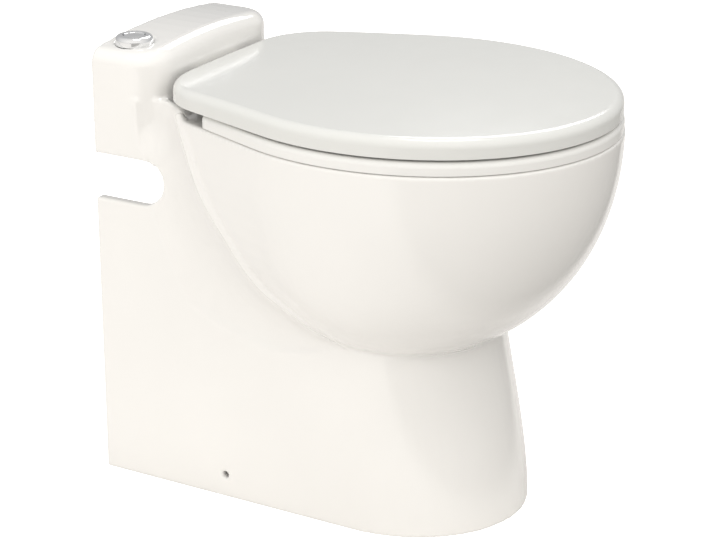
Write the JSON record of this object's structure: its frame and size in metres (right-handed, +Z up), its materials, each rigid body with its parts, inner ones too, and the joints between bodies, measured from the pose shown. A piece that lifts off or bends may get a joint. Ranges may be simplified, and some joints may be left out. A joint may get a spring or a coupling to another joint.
{
  "type": "macerator toilet",
  "caption": "Floor-standing toilet with a one-piece china pan, hinged seat and lid, and a macerator pump hidden in the rear casing.",
  "frame": {"origin": "on the floor, under the middle of the object's box", "axes": "+Z up, -Y to the front of the bowl, +Y to the wall, +X to the sitter's left"},
  "size_m": [0.37, 0.51, 0.463],
  "materials": {
    "glaze": "warm white glossy glaze",
    "seat_plastic": "smooth white thermoset",
    "soft_pad": "pale soft rubber",
    "bright_metal": "polished chrome",
    "steel": "plain bright steel",
    "black_rubber": "black rubber",
    "fixing_plastic": "white nylon",
    "tank_plastic": "pale moulded polypropylene",
    "dark_plastic": "dark moulded plastic",
    "motor_paint": "dark grey enamel",
    "core_iron": "laminated core and windings",
    "rotor_metal": "cast cage and laminations",
    "pipe_plastic": "grey pipe plastic",
    "can_metal": "drawn aluminium",
    "board": "green circuit board",
    "hose_rubber": "grey moulded rubber pipe"
  },
  "bodies": {
    "base": {"ceramic_pan": "glaze", "hinge_posts": "bright_metal", "hinge_pins": "steel", "hinge_studs": "steel", "hinge_washers": "black_rubber", "hinge_wing_nuts": "fixing_plastic", "button_bezel": "bright_metal", "button_spring": "steel", "button_gasket": "black_rubber", "button_nut": "fixing_plastic", "switch_housing": "dark_plastic", "macerator_tank": "tank_plastic", "tank_feet": "black_rubber", "tank_cover": "tank_plastic", "cover_seal": "black_rubber", "cover_screws": "steel", "motor_can": "motor_paint", "motor_stator": "core_iron", "upper_bearing": "steel", "lower_bearing": "steel", "shaft_seal": "black_rubber", "strainer_basket": "steel", "pump_casing": "pipe_plastic", "riser_pipe": "pipe_plastic", "check_valve_body": "pipe_plastic", "flap_pin": "steel", "discharge_elbow": "pipe_plastic", "inlet_sleeve": "black_rubber", "sleeve_clamps": "steel", "control_box": "dark_plastic", "control_board": "board", "cable_gland": "dark_plastic", "capacitor": "can_metal", "pressure_tube": "pipe_plastic", "pressure_switch": "dark_plastic", "solenoid_body": "fixing_plastic", "solenoid_coil": "dark_plastic", "plunger_spring": "steel", "inlet_filter": "fixing_plastic", "valve_bracket": "motor_paint", "flush_pipe": "hose_rubber", "flush_nozzle": "fixing_plastic", "pipe_clips": "steel"},
    "seat": {"seat_ring": "seat_plastic", "seat_bumpers": "soft_pad"},
    "lid": {"toilet_lid": "seat_plastic", "lid_bumpers": "soft_pad"},
    "button": {"push_button": "bright_metal"},
    "rotor": {"motor_shaft": "steel", "motor_rotor": "rotor_metal", "chopper_blade": "steel", "pump_impeller": "pipe_plastic"},
    "flap": {"check_flap": "black_rubber"},
    "plunger": {"valve_plunger": "steel"}
  },
  "joints": [
    {"name": "seat_hinge", "type": "hinge", "parent": "base", "child": "seat", "pos_m": [0, 0.161, 0.42], "axis": [-1, 0, 0], "range_deg": [0, 93]},
    {"name": "lid_hinge", "type": "hinge", "parent": "seat", "child": "lid", "pos_m": [0, 0.161, 0.42], "axis": [1, 0, 0], "range_deg": [-97, 0]},
    {"name": "button_press", "type": "slide", "parent": "base", "child": "button", "axis": [0, 0, -1], "range_m": [0, 0.004], "stiffness_N_per_m": 500, "springref_m": -0.004, "deforming": ["button_spring"]},
    {"name": "motor_spin", "type": "hinge", "parent": "base", "child": "rotor", "pos_m": [0.01, 0.187, 0.2], "axis": [0, 0, 1], "continuous": true},
    {"name": "flap_swing", "type": "hinge", "parent": "base", "child": "flap", "pos_m": [0.061, 0.199, 0.2633], "axis": [0, -1, 0], "range_deg": [0, 60]},
    {"name": "plunger_lift", "type": "slide", "parent": "base", "child": "plunger", "axis": [-1, 0, 0], "range_m": [0, 0.0035], "stiffness_N_per_m": 500, "springref_m": -0.003, "deforming": ["plunger_spring"]}
  ]
}
